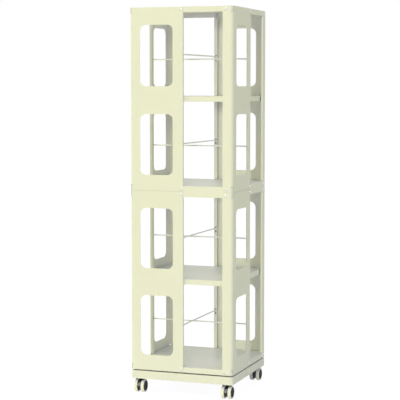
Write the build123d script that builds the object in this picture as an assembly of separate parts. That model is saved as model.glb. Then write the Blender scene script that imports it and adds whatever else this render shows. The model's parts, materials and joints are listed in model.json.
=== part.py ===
from build123d import *
import os
from math import cos, pi, sin

# Rotating bookshelf: a square steel tower of four tiers that turns on a base with casters.
# The origin is on the floor under the middle of the tower, +Z is up and -Y is the front.

# Tower
side = 400.0
corner_radius = 12.0
module_height = 671.0
panel_seam = 1.0
mid_shelf_drop = 323.5
tray_depth = 20.0

# Sheet steel of the panels and shelves
sheet = 1.0
bend_inside = 1.0
sheet_fit = 0.1

# Corner panels
wide_past_centre = 8.0
narrow_leg = 40.0
fold_depth = 11.5
lip_past_centre = 6.0
edge_return = 6.5
notch_spare = 2.0

# Windows in the wide legs
window_margin = 40.0
window_height = 223.5
window_radius = 22.0
window_drop = 4.0

# Rods that stop the books
rod_diameter = 5.0
rod_hole = 8.5
rod_step = 14.0
rod_seat = 0.05
rod_end_gap = 1.5

# Pan head bolts and weld nuts
bolt_diameter = 5.0
bolt_hole = 5.4
bolt_head = 10.0
bolt_head_height = 3.0
bolt_head_round = 1.8
bolt_socket = 3.0
bolt_socket_depth = 1.6
bolt_from_edge = 11.0
bolt_tip = 1.0
nut_flats = 8.0
nut_height = 4.0
thread_gap = 0.05

# Base
base_height = 30.0
base_sheet = 1.2
base_floor_sheet = 2.0
base_floor_flange = 15.0
turning_gap = 4.5

# Turntable between the base and the bottom shelf
race_thickness = 3.0
race_edge = 9.0
race_screw_step = 5.0
race_screw_count = 4
ball_diameter = 6.0
ball_edge = 11.0
ball_count = 30
groove_depth = 1.2
ball_under_gap = 0.1
ball_over_gap = 0.25
cage_width = 10.0
cage_thickness = 1.6
cage_gap = 0.15
drum_radius = 66.0
drum_wall = 2.0
drum_flange = 18.0
stud_count = 4
stud_length = 9.0

# Pivot bolt that holds the turntable together
pivot_diameter = 12.0
pivot_gap = 0.05
pivot_flats = 19.0
pivot_head_height = 7.5
pivot_nut_height = 8.0
pivot_tip = 1.5
washer_diameter = 24.0
washer_thickness = 2.0
running_gap = 0.3

# Caster wheels
caster_inset = 28.0
trail = 6.0
wheel_diameter = 48.0
tyre_thickness = 5.2
tyre_width = 12.0
tyre_round = 2.4
tyre_fit = 0.05
hub_width = 12.4
hub_wall = 2.0
hub_boss = 12.0
hub_recess = 1.2
wheel_side_gap = 0.5
axle_diameter = 6.0
axle_gap = 0.05
axle_end_gap = 0.4

# Caster bodies and mounting plates
caster_height = 56.0
body_width = 13.0
body_diameter = 36.0
neck_depth = 15.0
head_diameter = 20.0
head_height = 4.0
head_gap = 0.5
plate_side = 38.0
plate_thickness = 2.5
plate_corner = 5.0
plate_hole_inset = 5.5
kingpin_diameter = 8.0
kingpin_length = 17.0
kingpin_gap = 0.05
kingpin_bead = 0.5
kingpin_bead_height = 2.0
kingpin_bead_rise = 1.0

# Heights above the floor
base_top = caster_height + base_height
panel_bottom = base_top + turning_gap
lower_top = panel_bottom + module_height
upper_bottom = lower_top + panel_seam
tower_top = upper_bottom + module_height
bottom_deck = panel_bottom + tray_depth
joint_deck = upper_bottom + tray_depth
joint_depth = 2 * tray_depth + panel_seam

# Sizes that follow from the ones above
half = side / 2
lip_face = half - fold_depth
lip_start = -lip_past_centre
lip_middle = (wide_past_centre - lip_past_centre) / 2
bolt_inset = (tray_depth + sheet) / 2
bolt_grip = 2 * sheet + sheet_fit
narrow_bolt_x = half - narrow_leg + bolt_from_edge
window_width = half + wide_past_centre - 2 * window_margin
window_x = (wide_past_centre - half) / 2
tray_side = side - 2 * (sheet + sheet_fit)
mid_tray_side = 2 * (lip_face - sheet_fit)
rod_drop_in_hole = (rod_hole - rod_diameter) / 2 - rod_seat
ball_radius = ball_diameter / 2
ball_circle = 2 * (drum_radius - ball_edge)
ball_z = base_top + race_thickness - groove_depth + ball_radius
upper_race_z = ball_z + ball_radius - groove_depth
race_screw_radius = drum_radius + race_screw_step
lower_race_radius = race_screw_radius + race_edge
wheel_radius = wheel_diameter / 2
hub_radius = wheel_radius - tyre_thickness - tyre_fit
wheel_start = body_width / 2 + wheel_side_gap
plate_bottom = caster_height - plate_thickness

# Heights of the middle of the two clear tiers above the bottom of their module
tier_middles = (
    (module_height - mid_shelf_drop) / 2,
    module_height - (mid_shelf_drop + tray_depth) / 2,
)
# Each tier has one rod along Y at its middle and one along X below it
rod_rises = [(middle, middle - rod_step) for middle in tier_middles]

turns = {"front": 0, "right": 90, "back": 180, "left": 270}
modules = {"lower": panel_bottom, "upper": upper_bottom}
mid_decks = {name: bottom + module_height - mid_shelf_drop for name, bottom in modules.items()}


def outward(turn, x, z, face=half):
    """Place on a side of the tower, with its own +Z pointing out of that side."""
    return Rot(0, 0, turn) * Pos(x, -face, z) * Rot(90, 0, 0)


def around(count, circle, height):
    """Places evenly spaced on a circle about Z, the first half a step off the X axis."""
    angles = [2 * pi * (index + 0.5) / count for index in range(count)]
    return [Pos(circle / 2 * cos(angle), circle / 2 * sin(angle), height) for angle in angles]


def bar(diameter, low, high):
    """Round bar about Z between two heights."""
    seat = (Align.CENTER, Align.CENTER, Align.MIN)
    return Pos(0, 0, low) * Cylinder(diameter / 2, high - low, align=seat)


def drilled(solid, places, diameter, reach):
    """The solid with a hole at each place, reaching the same distance above and below it."""
    return solid - [place * bar(diameter, -reach, reach) for place in places]


def turned(*profile):
    """Solid of revolution about Z from (radius, height) points."""
    return revolve(Plane.XZ * make_face(Polyline(*profile, close=True)), Axis.Z)


def group(solids):
    """Like pieces that share one name, each still a solid of its own."""
    return Compound(children=list(solids))


def hex_bolt(flats, height, shank, length):
    """Hexagon head bolt; the head hangs below the XY plane, the shank points up."""
    return extrude(RegularPolygon(flats / 2, 6, major_radius=False), -height) + bar(shank, 0, length)


def hex_nut(flats, height, bore):
    """Hexagon nut that stands on its own XY plane."""
    return extrude(RegularPolygon(flats / 2, 6, major_radius=False) - Circle(bore / 2), height)


def pan_head(head, height, rounding, shank, length, socket, depth):
    """Pan head screw with a hexagon socket; the head stands on the XY plane, the shank points down."""
    screw = bar(head, 0, height)
    screw = fillet(screw.edges().group_by(Axis.Z)[-1], rounding)
    recess = extrude(RegularPolygon(socket / 2, 6, major_radius=False), depth)
    return screw + bar(shank, -length, 0) - Pos(0, 0, height - depth) * recess


def tray(outside, depth, thickness, corner, inside_bend):
    """Square pressed tray: a deck with its top on z = 0 and a flange all round, bent down."""
    inside = outside - 2 * thickness
    skin = extrude(RectangleRounded(outside, outside, corner), -depth)
    skin = fillet(skin.edges().group_by(Axis.Z)[-1], inside_bend + thickness)
    hollow = extrude(RectangleRounded(inside, inside, corner - thickness), thickness - depth)
    hollow = fillet(hollow.edges().group_by(Axis.Z)[-1], inside_bend)
    return skin - Pos(0, 0, -thickness) * hollow


def folded_profile():
    """Section of the front corner panel: lip, fold, wide leg, main bend, narrow leg and edge return.
    Its outer face runs clockwise, so the sheet lies on the right of it and every bend turns right."""
    outer = [
        Vector(lip_start, -lip_face),
        Vector(wide_past_centre, -lip_face),
        Vector(wide_past_centre, -half),
        Vector(-half, -half),
        Vector(-half, narrow_leg - half),
        Vector(edge_return - half, narrow_leg - half),
    ]
    inner = [
        outer[0] + Vector(0, -sheet),
        outer[1] + Vector(-sheet, -sheet),
        outer[2] + Vector(-sheet, sheet),
        outer[3] + Vector(sheet, sheet),
        outer[4] + Vector(sheet, -sheet),
        outer[5] + Vector(0, -sheet),
    ]
    inside = [bend_inside, bend_inside, corner_radius - sheet, bend_inside]
    outer_line = FilletPolyline(*outer, radius=[radius + sheet for radius in inside])
    inner_line = FilletPolyline(*inner, radius=inside)
    ends = [Line(outer[0], inner[0]), Line(outer[-1], inner[-1])]
    return make_face(outer_line.edges() + inner_line.edges() + ends)


def corner_panel():
    """Front corner panel of a module, standing on z = 0."""
    panel = extrude(folded_profile(), module_height)

    # The folds stop short of both ends, so that the shelf flanges lie flat against the legs.
    notch = tray_depth + notch_spare
    inner_face = half - sheet
    for z in (notch / 2, module_height - notch / 2):
        panel -= Pos(0, 0, z) * Box(2 * inner_face, 2 * inner_face, notch)

    window = RectangleRounded(window_width, window_height, window_radius)
    for middle in tier_middles:
        panel -= outward(0, window_x, middle - window_drop) * extrude(window, 2 * sheet, both=True)

    # Bolt holes at both ends: one in the wide leg, one in the narrow leg round the corner.
    ends = (bolt_inset, module_height - bolt_inset)
    legs = [outward(0, lip_middle, z) for z in ends] + [outward(270, narrow_bolt_x, z) for z in ends]
    panel = drilled(panel, legs, bolt_hole, 2 * sheet)

    # Both lip holes of a tier are in every panel; the rod that crosses this side uses one of them.
    rod_holes = [outward(0, 0, rise + rod_drop_in_hole, lip_face) for rises in rod_rises for rise in rises]
    panel = drilled(panel, rod_holes, rod_hole, 2 * sheet)
    shelf_screw = outward(0, lip_middle, module_height - mid_shelf_drop - bolt_inset, lip_face)
    return drilled(panel, [shelf_screw], bolt_hole, 2 * sheet)


def panel_bolt_places(heights):
    """Places of the panel bolts on all four sides at these heights."""
    xs = (lip_middle, narrow_bolt_x)
    return [outward(turn, x, z) for z in heights for turn in turns.values() for x in xs]


def bolted_shelf(deck, depth, heights):
    """Full size tray behind the panels, drilled for the panel bolts."""
    shelf = tray(tray_side, depth, sheet, corner_radius - sheet - sheet_fit, bend_inside)
    return drilled(Pos(0, 0, deck) * shelf, panel_bolt_places(heights), bolt_hole, 2 * bolt_grip)


def mid_screw_places(deck):
    """Places on the inside of a mid shelf's flange, one behind the lip on each side."""
    face = lip_face - sheet_fit - sheet
    return [outward(turn, lip_middle, deck - bolt_inset, face) for turn in turns.values()]


nodes = {}

# Base: a pan with its deck up, and a floor plate with an upturned flange inside its skirt
race_screw_places = around(race_screw_count, 2 * race_screw_radius, base_top)
pan = Pos(0, 0, base_top) * tray(side, base_height, base_sheet, corner_radius, bend_inside)
pan = drilled(pan, race_screw_places, bolt_hole, 2 * base_sheet)
nodes["base_pan"] = drilled(pan, [Pos(0, 0, base_top)], pivot_diameter + 2 * pivot_gap, 2 * base_sheet)

caster_x = half - caster_inset
swivel_y = caster_x - trail
hole_reach = plate_side / 2 - plate_hole_inset
casters = {"fl": (-1, -1), "fr": (1, -1), "bl": (-1, 1), "br": (1, 1)}
swivels = {name: Pos(sx * caster_x, sy * swivel_y, 0) for name, (sx, sy) in casters.items()}
plate_holes = [Pos(x, y, caster_height) for x in (-hole_reach, hole_reach) for y in (-hole_reach, hole_reach)]
plate_bolt_places = [swivel * hole for swivel in swivels.values() for hole in plate_holes]
floor_inset = base_sheet + sheet_fit
floor_plate = tray(side - 2 * floor_inset, base_floor_flange, base_floor_sheet, corner_radius - floor_inset,
                   bend_inside)
floor_plate = Pos(0, 0, caster_height) * Rot(180, 0, 0) * floor_plate
nodes["base_floor"] = drilled(floor_plate, plate_bolt_places, bolt_hole, 2 * base_floor_sheet)

# Turntable: two grooved races with caged balls between them; the upper race is a drum under the shelf
pivot_bore = pivot_diameter / 2 + pivot_gap
lower_race_top = base_top + race_thickness
lower_race = turned(
    (pivot_bore, base_top),
    (lower_race_radius, base_top),
    (lower_race_radius, lower_race_top),
    (pivot_bore, lower_race_top),
)
lower_race -= Pos(0, 0, ball_z) * Torus(ball_circle / 2, ball_radius + ball_under_gap)
nodes["turntable_lower_race"] = drilled(lower_race, race_screw_places, bolt_hole, 2 * race_thickness)

ball_places = around(ball_count, ball_circle, ball_z)
cage = turned(
    ((ball_circle - cage_width) / 2, ball_z - cage_thickness / 2),
    ((ball_circle + cage_width) / 2, ball_z - cage_thickness / 2),
    ((ball_circle + cage_width) / 2, ball_z + cage_thickness / 2),
    ((ball_circle - cage_width) / 2, ball_z + cage_thickness / 2),
)
cage = drilled(cage, ball_places, ball_diameter + 2 * cage_gap, cage_thickness)
nodes["turntable_ball_ring"] = group([cage] + [place * Sphere(ball_radius) for place in ball_places])

upper_race_top = upper_race_z + race_thickness
drum_top = bottom_deck - sheet
drum_rim = drum_radius + drum_flange
drum = turned(
    (pivot_bore, upper_race_z),
    (drum_radius, upper_race_z),
    (drum_radius, drum_top - drum_wall),
    (drum_rim, drum_top - drum_wall),
    (drum_rim, drum_top),
    (drum_radius - drum_wall, drum_top),
    (drum_radius - drum_wall, upper_race_top),
    (pivot_bore, upper_race_top),
)
drum -= Pos(0, 0, ball_z) * Torus(ball_circle / 2, ball_radius + ball_over_gap)
stud_places = around(stud_count, 2 * drum_radius + drum_flange, drum_top)
nodes["turntable_upper_race"] = drilled(drum, stud_places, bolt_hole, 2 * drum_wall)
nut = hex_nut(nut_flats, nut_height, bolt_diameter + 2 * thread_gap)
nodes["turntable_nuts"] = group(place * Pos(0, 0, -drum_wall - nut_height) * nut for place in stud_places)

# Pivot: a bolt up through both races, with a washer that runs over the upper race and a lock nut
pivot_head_top = base_top - base_sheet
washer_bottom = upper_race_top + running_gap
washer_top = washer_bottom + washer_thickness
pivot_end = washer_top + pivot_nut_height + pivot_tip
pivot_bolt = hex_bolt(pivot_flats, pivot_head_height, pivot_diameter, pivot_end - pivot_head_top)
washer = bar(washer_diameter, washer_bottom, washer_top) - bar(2 * pivot_bore, washer_bottom, washer_top)
lock_nut = Pos(0, 0, washer_top) * hex_nut(pivot_flats, pivot_nut_height, 2 * pivot_bore)
nodes["pivot_bolt"] = group([Pos(0, 0, pivot_head_top) * pivot_bolt, washer, lock_nut])

# Screws and nuts of the lower race, bolts and nuts of the caster plates
race_grip = race_thickness + base_sheet
race_screw = pan_head(bolt_head, bolt_head_height, bolt_head_round, bolt_diameter,
                      race_grip + nut_height + bolt_tip, bolt_socket, bolt_socket_depth)
race_screws = [place * Pos(0, 0, race_thickness) * race_screw for place in race_screw_places]
race_nuts = [place * Pos(0, 0, -base_sheet - nut_height) * nut for place in race_screw_places]
plate_grip = plate_thickness + base_floor_sheet
plate_bolt = hex_bolt(nut_flats, nut_height, bolt_diameter, plate_grip + nut_height + bolt_tip)
plate_bolts = [place * Pos(0, 0, -plate_thickness) * plate_bolt for place in plate_bolt_places]
plate_nuts = [place * Pos(0, 0, base_floor_sheet) * nut for place in plate_bolt_places]
nodes["base_fasteners"] = group(race_screws + race_nuts + plate_bolts + plate_nuts)

# Panels: four turns of the same corner panel in each module
panel = corner_panel()
for module, bottom in modules.items():
    for name, turn in turns.items():
        nodes[f"{module}_panel_{name}"] = Pos(0, 0, bottom) * Rot(0, 0, turn) * panel

# Shelves and top cover; the joint shelf's deep flange ties the two modules together
low_bolts = panel_bottom + bolt_inset
seam_bolts = (lower_top - bolt_inset, upper_bottom + bolt_inset)
high_bolts = tower_top - bolt_inset
studs = [place * bar(bolt_diameter, -stud_length, 0) for place in stud_places]
nodes["bottom_shelf"] = bolted_shelf(bottom_deck, tray_depth, [low_bolts]) + studs
nodes["joint_shelf"] = bolted_shelf(joint_deck, joint_depth, seam_bolts)
nodes["top_cover"] = bolted_shelf(tower_top, tray_depth, [high_bolts])
for name, deck in mid_decks.items():
    mid = Pos(0, 0, deck) * tray(mid_tray_side, tray_depth, sheet, corner_radius - sheet, bend_inside)
    nodes[f"{name}_mid_shelf"] = drilled(mid, mid_screw_places(deck), bolt_hole, 2 * sheet)

# Bolts through the panels into weld nuts on the shelf flanges; screws from the mid shelves into the lips
bolt_places = panel_bolt_places([low_bolts, *seam_bolts, high_bolts])
panel_bolt = pan_head(bolt_head, bolt_head_height, bolt_head_round, bolt_diameter,
                      bolt_grip + nut_height + bolt_tip, bolt_socket, bolt_socket_depth)
nodes["panel_bolts"] = group(place * panel_bolt for place in bolt_places)
mid_places = [place for deck in mid_decks.values() for place in mid_screw_places(deck)]
nodes["mid_shelf_screws"] = group(place * Rot(180, 0, 0) * panel_bolt for place in mid_places)
flange_nuts = [place * Pos(0, 0, -bolt_grip - nut_height) * nut for place in bolt_places]
lip_nuts = [place * Pos(0, 0, bolt_grip) * nut for place in mid_places]
nodes["weld_nuts"] = group(flange_nuts + lip_nuts)

# Rods: each lies in the bottom of its lip holes, with its ends trapped behind the wide legs
rod_reach = half - sheet - rod_end_gap
rod = bar(rod_diameter, -rod_reach, rod_reach)
for module, bottom in modules.items():
    for tier, (along_y, along_x) in zip(("low", "high"), rod_rises):
        nodes[f"{module}_{tier}_rod_y"] = Pos(0, 0, bottom + along_y) * Rot(90, 0, 0) * rod
        nodes[f"{module}_{tier}_rod_x"] = Pos(0, 0, bottom + along_x) * Rot(0, 90, 0) * rod

# Caster mounting plate with its kingpin; the bead near the pin's end snaps into the body
pin_end = plate_bottom - kingpin_length
bead_bottom = pin_end + kingpin_bead_rise
bead_top = bead_bottom + kingpin_bead_height
bead_diameter = kingpin_diameter + 2 * kingpin_bead
plate = extrude(RectangleRounded(plate_side, plate_side, plate_corner), plate_thickness)
mount = Pos(0, 0, plate_bottom) * plate
mount = drilled(mount, plate_holes, bolt_hole, 2 * plate_thickness)
mount += bar(kingpin_diameter, pin_end, plate_bottom)
mount += bar(bead_diameter, bead_bottom, bead_top)

# Caster body: a round head under the plate and a web between the wheels
head_top = plate_bottom - head_gap
web_disc = Pos(-trail, wheel_radius) * Circle(body_diameter / 2)
web_neck = Pos(0, head_top - head_height / 2) * Rectangle(neck_depth, head_height)
web = extrude(Plane.YZ * make_hull(web_disc.edges() + web_neck.edges()), body_width / 2, both=True)
body = web + bar(head_diameter, head_top - head_height, head_top)
body -= bar(kingpin_diameter + 2 * kingpin_gap, pin_end - running_gap, head_top)
body -= bar(bead_diameter + 2 * kingpin_gap, bead_bottom - running_gap, bead_top + running_gap)
axle_place = Pos(0, -trail, wheel_radius) * Rot(0, 90, 0)
body = drilled(body, [axle_place], axle_diameter + 2 * axle_gap, body_width)

# Axle, hub and tyre, on the axle's own line; the hub is a cup with a closed, recessed outer face
wheel_end = wheel_start + hub_width
axle_reach = wheel_end - hub_recess - hub_wall - axle_end_gap
axle = bar(axle_diameter, -axle_reach, axle_reach)
hub_bore = axle_diameter / 2 + axle_gap
rim_inside = hub_radius - hub_wall
dish = wheel_end - hub_recess
cup = dish - hub_wall
hub = turned(
    (hub_bore, wheel_start),
    (hub_boss / 2, wheel_start),
    (hub_boss / 2, cup),
    (rim_inside, cup),
    (rim_inside, wheel_start),
    (hub_radius, wheel_start),
    (hub_radius, wheel_end),
    (rim_inside, wheel_end),
    (rim_inside, dish),
    (0, dish),
    (0, cup),
    (hub_bore, cup),
)
tyre_start = wheel_start + (hub_width - tyre_width) / 2
tyre_end = tyre_start + tyre_width
tyre = bar(wheel_diameter, tyre_start, tyre_end)
tyre = fillet(tyre.edges().filter_by(GeomType.CIRCLE), tyre_round)
tyre -= bar(wheel_diameter - 2 * tyre_thickness, tyre_start, tyre_end)

for name, (sx, sy) in casters.items():
    facing = swivels[name] * Rot(0, 0, 0 if sy < 0 else 180)
    nodes[f"caster_mount_{name}"] = swivels[name] * mount
    nodes[f"caster_body_{name}"] = facing * body
    nodes[f"caster_axle_{name}"] = facing * axle_place * axle
    for hand, sign in (("l", -1), ("r", 1)):
        spin = Pos(sx * caster_x, sy * caster_x, wheel_radius) * Rot(0, sign * 90, 0)
        nodes[f"hub_{name}_{hand}"] = spin * hub
        nodes[f"tyre_{name}_{hand}"] = spin * tyre

os.makedirs("parts", exist_ok=True)
for name, shape in nodes.items():
    export_step(shape, f"parts/{name}.step")
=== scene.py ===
import json

import bmesh
import bpy
import mathutils
import numpy as np
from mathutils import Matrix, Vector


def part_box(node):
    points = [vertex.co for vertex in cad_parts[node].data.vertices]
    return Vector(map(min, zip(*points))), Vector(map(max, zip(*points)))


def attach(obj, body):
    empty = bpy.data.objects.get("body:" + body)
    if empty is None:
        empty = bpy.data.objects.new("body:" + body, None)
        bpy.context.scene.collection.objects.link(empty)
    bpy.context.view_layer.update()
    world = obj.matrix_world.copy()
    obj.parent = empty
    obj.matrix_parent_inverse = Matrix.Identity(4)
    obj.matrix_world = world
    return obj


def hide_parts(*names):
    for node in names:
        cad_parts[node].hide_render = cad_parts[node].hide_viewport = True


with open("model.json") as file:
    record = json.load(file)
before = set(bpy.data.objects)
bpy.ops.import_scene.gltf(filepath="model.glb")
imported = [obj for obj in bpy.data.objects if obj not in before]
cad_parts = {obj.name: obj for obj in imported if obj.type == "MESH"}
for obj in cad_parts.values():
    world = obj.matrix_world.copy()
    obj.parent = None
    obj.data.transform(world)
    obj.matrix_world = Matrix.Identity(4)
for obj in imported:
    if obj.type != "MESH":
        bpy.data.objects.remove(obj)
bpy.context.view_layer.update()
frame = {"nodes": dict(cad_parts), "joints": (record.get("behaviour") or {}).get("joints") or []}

# Caster tyres: cream thermoplastic rubber moulded round each hub, two wheels to a caster.
# The tread is crowned, its shoulders are round, and it has the matt skin of a fine mould.
corners = ("fl", "fr", "bl", "br")
hands = ("l", "r")
tyre_thickness = 5.2e-3
tyre_colour = (0.965, 0.955, 0.71)
section_steps = 40


def grid_mesh(name, points, rows_close=False):
    """Mesh of a grid of points, shape (rows, columns, 3). Columns close on themselves, rows too
    if asked, each cell is one face, and points that fall together, as at a pole, are merged."""
    rows, columns = points.shape[:2]
    index = np.arange(rows * columns).reshape(rows, columns)
    below = np.roll(index, -1, axis=0) if rows_close else index[1:]
    above = index if rows_close else index[:-1]
    cell_corners = [above, np.roll(above, -1, axis=1), np.roll(below, -1, axis=1), below]
    cells = np.stack(cell_corners, axis=-1)
    mesh = bpy.data.meshes.new(name)
    mesh.from_pydata(points.reshape(-1, 3).tolist(), [], cells.reshape(-1, 4).tolist())
    merge_distance = 1e-6
    built = bmesh.new()
    built.from_mesh(mesh)
    bmesh.ops.remove_doubles(built, verts=built.verts, dist=merge_distance)
    bmesh.ops.dissolve_degenerate(built, edges=built.edges, dist=merge_distance)
    bmesh.ops.recalc_face_normals(built, faces=built.faces)
    built.to_mesh(mesh)
    built.free()
    return mesh


def add_piece(mesh, body, slot, material, *stands_for):
    """Object for a mesh that is already in place: it rides on a body and stands for these nodes."""
    sharp_from = np.radians(38)
    piece = bpy.data.objects.new(mesh.name, mesh)
    bpy.context.scene.collection.objects.link(piece)
    mesh.materials.append(material)
    mesh.shade_smooth()
    mesh.set_sharp_from_angle(angle=sharp_from)
    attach(piece, body)
    if stands_for:
        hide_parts(*stands_for)


def turned(centre, along, radius, steps=96):
    """Grid of a section turned about the X axis through centre:
    (x + along, y + r cos turn, z + r sin turn)."""
    turn = np.linspace(0, 2 * np.pi, steps, endpoint=False)
    x = np.broadcast_to(along[:, None], (len(along), steps))
    y = radius[:, None] * np.cos(turn)
    z = radius[:, None] * np.sin(turn)
    return centre + np.stack([x, y, z], axis=-1)


def squared_circle(angle):
    """Points of |u|^4 + |v|^4 = 1: the square roots of the cosine and sine, with their signs."""
    u, v = np.cos(angle), np.sin(angle)
    return np.sign(u) * np.abs(u) ** 0.5, np.sign(v) * np.abs(v) ** 0.5


def finish(name, colour, drift, patches, pits, pit_height, roughness, **constants):
    """Material for a skin. Slow noise, patches to the metre, moves the colour by a share, drift,
    to either side. Fine noise, pits to the metre, raises the skin by pit_height in metres and
    spreads the roughness over its range. Constants go on the shader's own sockets."""
    patch_detail, patch_range = 3, (0.35, 0.65)
    pit_detail, pit_range = 2, (0.3, 0.7)
    material = bpy.data.materials.new(name)
    material.use_nodes = True
    tree = material.node_tree
    shader = tree.nodes["Principled BSDF"]
    for socket, value in constants.items():
        shader.inputs[socket.replace("_", " ")].default_value = value
    place = tree.nodes.new("ShaderNodeTexCoord")

    clouds = tree.nodes.new("ShaderNodeTexNoise")
    clouds.inputs["Scale"].default_value = patches
    clouds.inputs["Detail"].default_value = patch_detail
    shades = tree.nodes.new("ShaderNodeValToRGB")
    stops = zip(shades.color_ramp.elements, patch_range, (1 - drift, 1 + drift))
    for stop, position, share in stops:
        stop.position = position
        stop.color = (*(share * part for part in colour), 1)
    tree.links.new(place.outputs["Object"], clouds.inputs["Vector"])
    tree.links.new(clouds.outputs["Fac"], shades.inputs["Fac"])
    tree.links.new(shades.outputs["Color"], shader.inputs["Base Color"])

    peel = tree.nodes.new("ShaderNodeTexNoise")
    peel.inputs["Scale"].default_value = pits
    peel.inputs["Detail"].default_value = pit_detail
    spread = tree.nodes.new("ShaderNodeMapRange")
    limits = ("From Min", "From Max", "To Min", "To Max")
    for socket, value in zip(limits, (*pit_range, *roughness)):
        spread.inputs[socket].default_value = value
    bump = tree.nodes.new("ShaderNodeBump")
    bump.inputs["Strength"].default_value = 1
    bump.inputs["Distance"].default_value = pit_height
    tree.links.new(place.outputs["Object"], peel.inputs["Vector"])
    tree.links.new(peel.outputs["Fac"], spread.inputs["Value"])
    tree.links.new(peel.outputs["Fac"], bump.inputs["Height"])
    tree.links.new(spread.outputs["Result"], shader.inputs["Roughness"])
    tree.links.new(bump.outputs["Normal"], shader.inputs["Normal"])
    return material


def box_of(node):
    """Lowest and highest corner of a CAD node at rest."""
    return (np.array(corner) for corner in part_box(node))


def tyre_grid(low, high):
    """Tyre: a squared circle turned about the axle, so that its outer side is the crowned tread."""
    across, up = squared_circle(np.linspace(0, 2 * np.pi, section_steps, endpoint=False))
    half_width = (high[0] - low[0]) / 2
    outer = (high[2] - low[2]) / 2
    return turned((low + high) / 2, half_width * across, outer - tyre_thickness / 2 * (1 - up))


cream_rubber = finish("cream_rubber", tyre_colour, drift=0.03, patches=60, pits=1800,
                      pit_height=2e-5, roughness=(0.52, 0.68), Specular_IOR_Level=0.35)
for corner in corners:
    for hand in hands:
        node = f"tyre_{corner}_{hand}"
        tyre = grid_mesh(f"tread_{corner}_{hand}", tyre_grid(*box_of(node)), rows_close=True)
        add_piece(tyre, f"wheel_{corner}_{hand}", "pale_tread", cream_rubber, node)

# Caster hubs: near-black nylon cups, closed on the outside with a shallow dish inside a round rim
# and a low cap over the axle's end. They are moulded, so every edge is soft.
hub_colour = (0.009, 0.0085, 0.01)
cap_radius, cap_rise, cap_slope = 5.5e-3, 0.7e-3, 0.6e-3
dish_depth, dish_edge, rim_edge = 1.6e-3, 4e-3, 2.6e-3
hub_rounding = 0.7e-3
outward_sides = (-1, 1)


def rounded(points, radius, steps=5):
    """Open outline through points with each inner corner turned into an arc: from a radius before
    the corner to a radius after it along (1-t)^2 A + 2t(1-t) corner + t^2 B. The radius is at most
    half of the shorter side."""
    points = np.asarray(points, float)
    before, corner, after = points[:-2], points[1:-1], points[2:]
    first = before - corner
    second = after - corner
    first_length = np.linalg.norm(first, axis=1)[:, None]
    second_length = np.linalg.norm(second, axis=1)[:, None]
    reach = np.minimum(radius, 0.5 * np.minimum(first_length, second_length))
    start = (corner + first / first_length * reach)[:, None]
    end = (corner + second / second_length * reach)[:, None]
    t = np.linspace(0, 1, steps)[None, :, None]
    arcs = (1 - t) ** 2 * start + 2 * t * (1 - t) * corner[:, None] + t ** 2 * end
    return np.concatenate([points[:1], arcs.reshape(-1, 2), points[-1:]])


def hub_grid(low, high, outward):
    """Hub: a rounded section turned about the axle, from the middle of the outer face, over cap,
    dish and rim, to the inner face and back to the axle."""
    half_width = (high[0] - low[0]) / 2
    rim = (high[2] - low[2]) / 2
    face = half_width - dish_depth
    section = rounded([
        (face + cap_rise, 0), (face + cap_rise, cap_radius), (face, cap_radius + cap_slope),
        (face, rim - dish_edge), (half_width, rim - rim_edge), (half_width, rim),
        (-half_width, rim), (-half_width, 0),
    ], hub_rounding)
    return turned((low + high) / 2, outward * section[:, 0], section[:, 1])


hub_nylon = finish("hub_nylon", hub_colour, drift=0.2, patches=90, pits=1500,
                   pit_height=1.5e-5, roughness=(0.4, 0.55), Specular_IOR_Level=0.12)
for corner in corners:
    for hand, outward in zip(hands, outward_sides):
        node = f"hub_{corner}_{hand}"
        hub = grid_mesh(f"dished_{node}", hub_grid(*box_of(node), outward))
        add_piece(hub, f"wheel_{corner}_{hand}", "dark_plastic", hub_nylon, node)

# Caster bodies: a nylon web between the two wheels, with a groove round its rim where the mould
# parts. It carries a round head that turns on the kingpin under the mounting plate.
body_colour = (0.024, 0.023, 0.026)
body_half_width, disc_radius, body_rounding = 6.5e-3, 18e-3, 1.5e-3
neck_half = np.array([7.5e-3, 2e-3])
head_radius, head_height, head_rounding = 10e-3, 4e-3, 1e-3
groove_half, groove_depth = 1.6e-3, 0.9e-3
outline_steps, quarter_steps = 120, 6
joint_places = {joint["name"]: np.array(joint["pos_m"]) for joint in frame["joints"]}


def belt(disc_centre, disc_reach, neck_centre, neck_reach, turn):
    """Outline of a belt drawn round a disc and a box: for each normal (cos, sin) the point of the
    two that reaches furthest along it. Returns points and normals."""
    normal = np.stack([np.cos(turn), np.sin(turn)], axis=-1)
    on_disc = disc_centre + disc_reach * normal
    on_neck = neck_centre + neck_reach * np.sign(normal)
    disc_leads = np.sum(on_disc * normal, axis=-1) >= np.sum(on_neck * normal, axis=-1)
    return np.where(disc_leads[:, None], on_disc, on_neck), normal


def web_grid(middle_x, axle, neck):
    """Web of a caster: the belt outline grows from a flat side out to the rim along a quarter
    circle, runs across the rim with a groove in the middle, and shrinks back to the other side."""
    turn = np.linspace(0, 2 * np.pi, outline_steps, endpoint=False)
    outline, normal = belt(axle, disc_radius - body_rounding, neck, neck_half - body_rounding, turn)
    quarter = np.linspace(0, np.pi / 2, quarter_steps)
    shoulder = body_half_width - body_rounding + body_rounding * np.cos(quarter)
    groove_grow = [body_rounding, body_rounding - groove_depth]
    across = np.concatenate([shoulder, [groove_half + groove_depth, groove_half]])
    grow = np.concatenate([body_rounding * np.sin(quarter), groove_grow])
    across = np.concatenate([across, -across[::-1]])
    grow = np.concatenate([grow, grow[::-1]])
    rim = outline + grow[:, None, None] * normal
    middle = np.broadcast_to(axle, rim[:1].shape)
    rim = np.concatenate([middle, rim, middle])
    across = np.concatenate([across[:1], across, across[-1:]])
    x = np.broadcast_to((middle_x + across)[:, None], rim.shape[:2])
    return np.concatenate([x[..., None], rim], axis=-1)


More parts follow.
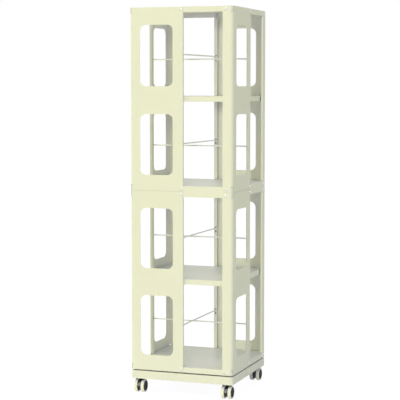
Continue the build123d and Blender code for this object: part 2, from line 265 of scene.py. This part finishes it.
def stood(centre, radius, height, steps=72):
    """Grid of a section turned about the Z axis through centre:
    (x + r cos turn, y + r sin turn, height)."""
    turn = np.linspace(0, 2 * np.pi, steps, endpoint=False)
    circle = np.stack([np.cos(turn), np.sin(turn)], axis=-1)
    around = radius[:, None, None] * circle + centre
    z = np.broadcast_to(height[:, None], (len(height), steps))
    return np.concatenate([around, z[..., None]], axis=-1)


def joined(name, *meshes):
    """One mesh out of several shells."""
    built = bmesh.new()
    for part in meshes:
        built.from_mesh(part)
    mesh = bpy.data.meshes.new(name)
    built.to_mesh(mesh)
    built.free()
    return mesh


def axle_and_swivel(corner):
    """Place of a caster's axle as (y, z), and of its swivel as (x, y)."""
    low, high = box_of(f"caster_body_{corner}")
    axle = np.array([(low[1] + high[1]) / 2, low[2] + disc_radius])
    return axle, joint_places[f"swivel_{corner}"][:2]


body_nylon = finish("body_nylon", body_colour, drift=0.2, patches=90, pits=1500,
                    pit_height=1.5e-5, roughness=(0.28, 0.42), Specular_IOR_Level=0.4)
head_corners = [(0, 0), (head_radius, 0), (head_radius, -head_height), (0, -head_height)]
head_section = rounded(head_corners, head_rounding)
for corner in corners:
    node = f"caster_body_{corner}"
    _, high = box_of(node)
    axle, swivel = axle_and_swivel(corner)
    neck = np.array([swivel[1], high[2] - neck_half[1]])
    web = grid_mesh("web", web_grid(swivel[0], axle, neck))
    head = grid_mesh("head", stood(swivel, head_section[:, 0], high[2] + head_section[:, 1]))
    moulding = joined(f"moulded_{node}", web, head)
    add_piece(moulding, f"caster_{corner}", "dark_plastic", body_nylon, node)

# Brake tabs: a grey nylon tab on the trailing side of each caster body, moulded in one with it.
# It slopes down and out between the two treads to where a shoe can reach it.
tab_colour = (0.2, 0.2, 0.21)
tab_half_width, tab_half_thickness = 5.6e-3, 1.1e-3
tab_curve = 1e-3 * np.array([(11, 13.5), (17, 13.5), (22.5, 9), (25, 1.5)])
tab_steps, end_bluntness = 40, 6
trailing_sides = (-1, -1, 1, 1)


def tab_grid(middle_x, axle, trailing):
    """Brake tab: a squared circle, wide and thin, carried along a cubic curve (forward, up) from
    the axle. Its size falls to nothing at both ends as (1 - |2t - 1|^n)^(1/n), n the bluntness,
    so that they are round and closed."""
    t = (1 - np.cos(np.linspace(0, np.pi, tab_steps))) / 2
    weights = np.stack([(1 - t) ** 3, 3 * t * (1 - t) ** 2, 3 * t ** 2 * (1 - t), t ** 3], axis=-1)
    line = weights @ tab_curve
    slope = np.gradient(line, axis=0)
    slope /= np.linalg.norm(slope, axis=1)[:, None]
    normal = np.stack([-slope[:, 1], slope[:, 0]], axis=-1)
    swell = ((1 - np.abs(2 * t - 1) ** end_bluntness) ** (1 / end_bluntness))[:, None]
    across, thick = squared_circle(np.linspace(0, 2 * np.pi, section_steps, endpoint=False))
    spot = line[:, None] + (tab_half_thickness * swell * thick)[..., None] * normal[:, None]
    x = middle_x + tab_half_width * swell * across
    return np.stack([x, axle[0] + trailing * spot[..., 0], axle[1] + spot[..., 1]], axis=-1)


tab_nylon = finish("tab_nylon", tab_colour, drift=0.1, patches=90, pits=1500,
                   pit_height=1.5e-5, roughness=(0.35, 0.5))
for corner, trailing in zip(corners, trailing_sides):
    axle, swivel = axle_and_swivel(corner)
    tab = grid_mesh(f"brake_tab_{corner}", tab_grid(swivel[0], axle, trailing))
    add_piece(tab, f"caster_{corner}", "dark_plastic", tab_nylon)

# Caster plates and axles: a black painted steel plate with the kingpin riveted through it, bolted
# up under the base, and a plain zinc plated pin that the wheels turn on.
paint_colour = (0.03, 0.03, 0.032)
zinc_colour = (0.66, 0.645, 0.62)


def wear(material, *node_names):
    """Gives CAD nodes a finish in place of their plain one."""
    for name in node_names:
        slots = frame["nodes"][name].data.materials
        slots.clear()
        slots.append(material)


black_paint = finish("black_paint", paint_colour, drift=0.1, patches=40, pits=900,
                     pit_height=2e-5, roughness=(0.34, 0.5))
zinc = finish("bright_zinc", zinc_colour, drift=0.06, patches=250, pits=1200,
              pit_height=1e-5, roughness=(0.26, 0.38), Metallic=1.0)
wear(black_paint, "base_fasteners", *(f"caster_mount_{corner}" for corner in corners))
wear(zinc, *(f"caster_axle_{corner}" for corner in corners))

# Base: a square pan of folded sheet steel with its deck up, and a floor plate inside its skirt
# that the casters are bolted to. Both are powder coated in pale cream, satin, with a fine orange
# peel, and shade is painted into the colour, darker grey where a fold or a joint is tight.
coat_colour = (0.85, 0.858, 0.645)
# Painted shade: the grey that the coat's colour darkens to in folds and tight joints.
crease_shade_colour = (0.2, 0.2, 0.19, 1)
fold_reach = 16e-3
fold_closed, fold_open = 0.08, 0.55
fold_samples = 12


def powder_coat():
    """Satin coat whose colour drifts by one percent over a hand's width, with painted shade: where
    a fold or a joint closes round a point, by the share of free sky within fold_reach, the colour
    is painted darker, down to grey."""
    material = finish("cream_powder_coat", coat_colour, drift=0.01, patches=7, pits=800,
                      pit_height=6e-5, roughness=(0.4, 0.52))
    tree = material.node_tree
    shader = tree.nodes["Principled BSDF"]
    # Painted shade: the share of free sky within fold_reach sets how far the colour darkens to
    # grey.
    sky = tree.nodes.new("ShaderNodeAmbientOcclusion")
    sky.samples = fold_samples
    sky.inputs["Distance"].default_value = fold_reach
    reach = tree.nodes.new("ShaderNodeMapRange")
    reach.inputs["From Min"].default_value = fold_closed
    reach.inputs["From Max"].default_value = fold_open
    coat = tree.nodes.new("ShaderNodeMix")
    coat.data_type = "RGBA"
    coat.inputs["A"].default_value = crease_shade_colour
    unshaded_coat_colour = shader.inputs["Base Color"].links[0].from_socket
    tree.links.new(sky.outputs["AO"], reach.inputs["Value"])
    tree.links.new(reach.outputs["Result"], coat.inputs["Factor"])
    tree.links.new(unshaded_coat_colour, coat.inputs["B"])
    tree.links.new(coat.outputs["Result"], shader.inputs["Base Color"])
    return material


cream = powder_coat()
wear(cream, "base_pan", "base_floor")

# Turntable: two grooved steel races with caged balls between them, screwed to the base below and
# to the bottom shelf's studs above, and a pivot bolt that keeps the tower from lifting. All are
# turned steel, zinc plated.
wear(zinc, "turntable_lower_race", "turntable_ball_ring", "turntable_upper_race", "turntable_nuts",
     "pivot_bolt")

# Shelves and top cover: square trays of sheet steel with their flanges bent down. The flanges
# stand behind the panels, and the joint shelf's deep one ties the two sets of panels together.
wear(cream, "bottom_shelf", "lower_mid_shelf", "joint_shelf", "upper_mid_shelf", "top_cover")

# Corner panels: sheet steel, punched with two windows, bent round the corner of the tower and
# folded back at its free edges, four turns of the same panel in each of two sets.
modules = ("lower", "upper")
sides = ("front", "right", "back", "left")
wear(cream, *(f"{module}_panel_{side}" for module in modules for side in sides))

# Bolts, screws and nuts: pan head bolts with a hexagon socket go through the panels into nuts
# welded behind the shelf flanges, and screws hold the mid shelves to the panels' lips. All are
# steel, zinc plated.
wear(zinc, "panel_bolts", "mid_shelf_screws", "weld_nuts")

# Rods: round steel bar in the same cream, coated on its own, with painted light: its colour is a
# shade lighter than the panels' so that the rods read as lit. Two cross each tier, front to back
# and side to side, through the holes in the panels' lips, to stop the books.
painted_light_rod_colour = (0.92, 0.92, 0.75)
painted_light_rod_coat = finish("painted_light_rod_coat", painted_light_rod_colour, drift=0.01, patches=20, pits=1200,
                  pit_height=3e-5, roughness=(0.32, 0.44))
for module in modules:
    wear(painted_light_rod_coat, *(f"{module}_{tier}_rod_{axis}" for tier in ("low", "high") for axis in "xy"))

# Studio: a pale floor that keeps the shadow, a white surround, and broad lights so far off that
# they fall evenly from top to bottom: a narrow one level with the tower's front, and soft ones
# from above on all four sides.
white = (1, 1, 1, 1)
floor_reach, floor_glow, floor_roughness = 80.0, 0.94, 0.9
floor_square = np.array([(-1, -1, 0), (1, -1, 0), (1, 1, 0), (-1, 1, 0)])
floor_colour, seen_floor_colour = (0.8, 0.8, 0.8, 1), (0.15, 0.15, 0.15, 1)
open_light, shade_light, deep_light = (0, 0, 0), (0.4, 0.39, 0.2), (0.7, 0.69, 1.78)
surfaces_met, most_surfaces = (0, 2.5, 3.5), 5
photo_width, focal_pixels, sensor_width = 400, 1362, 36
camera_place, camera_turn = (1.758, -4.851, 1.1387), (85.31, 0, 19.9)


def seen_directly(tree):
    """1 for rays that show the surround itself: camera, glossy and transmission rays."""
    light_path = tree.nodes.new("ShaderNodeLightPath")
    first = tree.nodes.new("ShaderNodeMath")
    first.operation = "MAXIMUM"
    second = tree.nodes.new("ShaderNodeMath")
    second.operation = "MAXIMUM"
    tree.links.new(light_path.outputs["Is Camera Ray"], first.inputs[0])
    tree.links.new(light_path.outputs["Is Glossy Ray"], first.inputs[1])
    tree.links.new(first.outputs["Value"], second.inputs[0])
    tree.links.new(light_path.outputs["Is Transmission Ray"], second.inputs[1])
    return second.outputs["Value"]


def surround_light(tree):
    """Colour of the surround's light by how many surfaces it has met: none after one or two, where
    the lamps do the work, dim and warm after three, and blue after more, as deep in the shelves,
    so that their shade is a neutral grey."""
    light_path = tree.nodes.new("ShaderNodeLightPath")
    share = tree.nodes.new("ShaderNodeMath")
    share.operation = "MULTIPLY"
    share.inputs[1].default_value = 1 / most_surfaces
    tree.links.new(light_path.outputs["Ray Depth"], share.inputs[0])
    ramp = tree.nodes.new("ShaderNodeValToRGB")
    ramp.color_ramp.interpolation = "CONSTANT"
    ramp.color_ramp.elements.new(surfaces_met[1] / most_surfaces)
    lights = (open_light, shade_light, deep_light)
    for stop, surfaces, colour in zip(ramp.color_ramp.elements, surfaces_met, lights):
        stop.position = surfaces / most_surfaces
        stop.color = (*colour, 1)
    tree.links.new(share.outputs["Value"], ramp.inputs["Fac"])
    return ramp.outputs["Color"]


def shown_as(tree, seen_colour):
    """Mix node that gives seen_colour to rays that show the surround itself, and A to the rest."""
    mix = tree.nodes.new("ShaderNodeMix")
    mix.data_type = "RGBA"
    mix.inputs["B"].default_value = seen_colour
    tree.links.new(seen_directly(tree), mix.inputs["Factor"])
    return mix


def soft_light(name, heading, spread, strength, colour):
    """Broad far light that travels along heading, as wide as spread in radians. It lights what it
    reaches, and that lights the rest once more."""
    light = bpy.data.lights.new(name, "SUN")
    light.angle = spread
    light.energy = strength
    light.color = colour
    light.cycles.max_bounces = 1
    lamp = bpy.data.objects.new(name, light)
    bpy.context.scene.collection.objects.link(lamp)
    lamp.rotation_euler = mathutils.Vector(heading).to_track_quat("-Z", "Y").to_euler()
    return lamp


floor_mesh = bpy.data.meshes.new("floor")
floor_mesh.from_pydata(floor_reach * floor_square, [], [(0, 1, 2, 3)])
floor = bpy.data.objects.new("floor", floor_mesh)
bpy.context.scene.collection.objects.link(floor)
pale = bpy.data.materials.new("pale_floor")
pale.use_nodes = True
tree = pale.node_tree
shader = tree.nodes["Principled BSDF"]
shader.inputs["Roughness"].default_value = floor_roughness
shader.inputs["Specular IOR Level"].default_value = 0
shader.inputs["Emission Color"].default_value = white
floor_shown = shown_as(tree, seen_floor_colour)
floor_shown.inputs["A"].default_value = floor_colour
tree.links.new(floor_shown.outputs["Result"], shader.inputs["Base Color"])
glow = tree.nodes.new("ShaderNodeMath")
glow.operation = "MULTIPLY"
glow.inputs[1].default_value = floor_glow
tree.links.new(seen_directly(tree), glow.inputs[0])
tree.links.new(glow.outputs["Value"], shader.inputs["Emission Strength"])
floor_mesh.materials.append(pale)

world = bpy.data.worlds.new("studio")
bpy.context.scene.world = world
world.use_nodes = True
tree = world.node_tree
surround_shown = shown_as(tree, white)
tree.links.new(surround_light(tree), surround_shown.inputs["A"])
tree.links.new(surround_shown.outputs["Result"], tree.nodes["Background"].inputs["Color"])

soft_light("front_light", heading=(-0.06, 1, -0.1), spread=0.12, strength=0.75,
           colour=(1.0, 0.99, 0.99))
soft_light("upper_front_light", heading=(0.1, 1, -1.2), spread=0.8, strength=0.83,
           colour=(1.0, 0.98, 1.0))
soft_light("left_light", heading=(1, 0.4, -0.7), spread=0.8, strength=1.13,
           colour=(1.0, 0.99, 0.8))
soft_light("right_light", heading=(-1, 0.3, -0.6), spread=0.8, strength=0.92,
           colour=(0.66, 0.73, 1.0))
back_light = soft_light("back_light", heading=(0.5, -1, -0.35), spread=0.5, strength=0.6,
                        colour=(1.0, 1.0, 0.95))
back_light.visible_glossy = False

bpy.context.scene.view_settings.view_transform = "Standard"
camera = bpy.data.cameras.new("camera")
camera.sensor_width = sensor_width
camera.lens = focal_pixels / photo_width * sensor_width
camera_object = bpy.data.objects.new("camera", camera)
bpy.context.scene.collection.objects.link(camera_object)
camera_object.location = camera_place
camera_object.rotation_euler = np.radians(camera_turn)
bpy.context.scene.camera = camera_object
